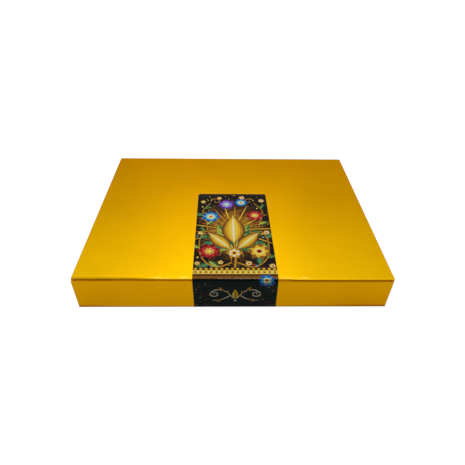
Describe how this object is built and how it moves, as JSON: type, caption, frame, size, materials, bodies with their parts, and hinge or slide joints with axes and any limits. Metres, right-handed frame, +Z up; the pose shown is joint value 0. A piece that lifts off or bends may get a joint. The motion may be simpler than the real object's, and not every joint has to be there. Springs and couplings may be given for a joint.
{
  "type": "chocolate box",
  "caption": "Flat book-style gift box for chocolates: gold-wrapped case with a hinged lid and a magnetic front flap, tray, card grid, paper cups and moulded chocolates.",
  "frame": {"origin": "middle of the case's underside, on the table", "axes": "+X to the right along the front edge, +Y from the flap at the front to the spine at the back, +Z up"},
  "size_m": [0.24, 0.1841, 0.0307],
  "materials": {
    "gold_wrap": "satin metallic gold foil paper",
    "greyboard": "raw pressed greyboard",
    "liner_paper": "uncoated dark brown paper",
    "printed_label": "semi-gloss printed sticker",
    "magnet": "nickel-plated",
    "steel_disc": "bare rolled steel",
    "corner_tape": "gummed kraft tape",
    "grid_card": "gold-faced card",
    "cup_paper": "fluted glassine",
    "cushion_paper": "embossed cushion pad",
    "dark_chocolate": "tempered gloss",
    "milk_chocolate": "tempered gloss",
    "white_chocolate": "tempered gloss",
    "caramel_chocolate": "tempered gloss",
    "ruby_chocolate": "painted gloss",
    "hazelnut_chocolate": "tempered gloss"
  },
  "bodies": {
    "base": {"spine_wrap": "gold_wrap", "base_wrap": "gold_wrap", "lid_hinge_strip": "gold_wrap", "base_hinge_strip": "gold_wrap", "tray_wrap": "gold_wrap", "spine_board": "greyboard", "base_board": "greyboard", "tray_floor": "greyboard", "tray_front_wall": "greyboard", "tray_rear_wall": "greyboard", "tray_left_wall": "greyboard", "tray_right_wall": "greyboard", "spine_liner": "liner_paper", "base_liner": "liner_paper", "tray_floor_paper": "liner_paper", "closure_plates": "steel_disc", "tray_corner_stays": "corner_tape", "long_divider_1": "grid_card", "long_divider_2": "grid_card", "long_divider_3": "grid_card", "long_divider_4": "grid_card", "cross_divider_1": "grid_card", "cross_divider_2": "grid_card", "cross_divider_3": "grid_card", "cross_divider_4": "grid_card", "cross_divider_5": "grid_card", "paper_cups": "cup_paper", "dark_domes": "dark_chocolate", "milk_squares": "milk_chocolate", "white_ovals": "white_chocolate", "caramel_cones": "caramel_chocolate", "ruby_hearts": "ruby_chocolate", "hazel_bars": "hazelnut_chocolate"},
    "lid": {"lid_board": "greyboard", "lid_wrap": "gold_wrap", "lid_liner": "liner_paper", "lid_pad": "cushion_paper", "label_lid_span": "printed_label", "flap_hinge_strip": "gold_wrap"},
    "flap": {"flap_board": "greyboard", "flap_wrap": "gold_wrap", "flap_liner": "liner_paper", "flap_magnets": "magnet", "label_flap_span": "printed_label"}
  },
  "joints": [
    {"name": "lid_hinge", "type": "hinge", "parent": "base", "child": "lid", "pos_m": [0, 0.092, 0.0285], "axis": [-1, 0, 0], "range_deg": [0, 175]},
    {"name": "flap_hinge", "type": "hinge", "parent": "lid", "child": "flap", "pos_m": [0, -0.092, 0.0285], "axis": [-1, 0, 0], "range_deg": [0, 90]}
  ]
}
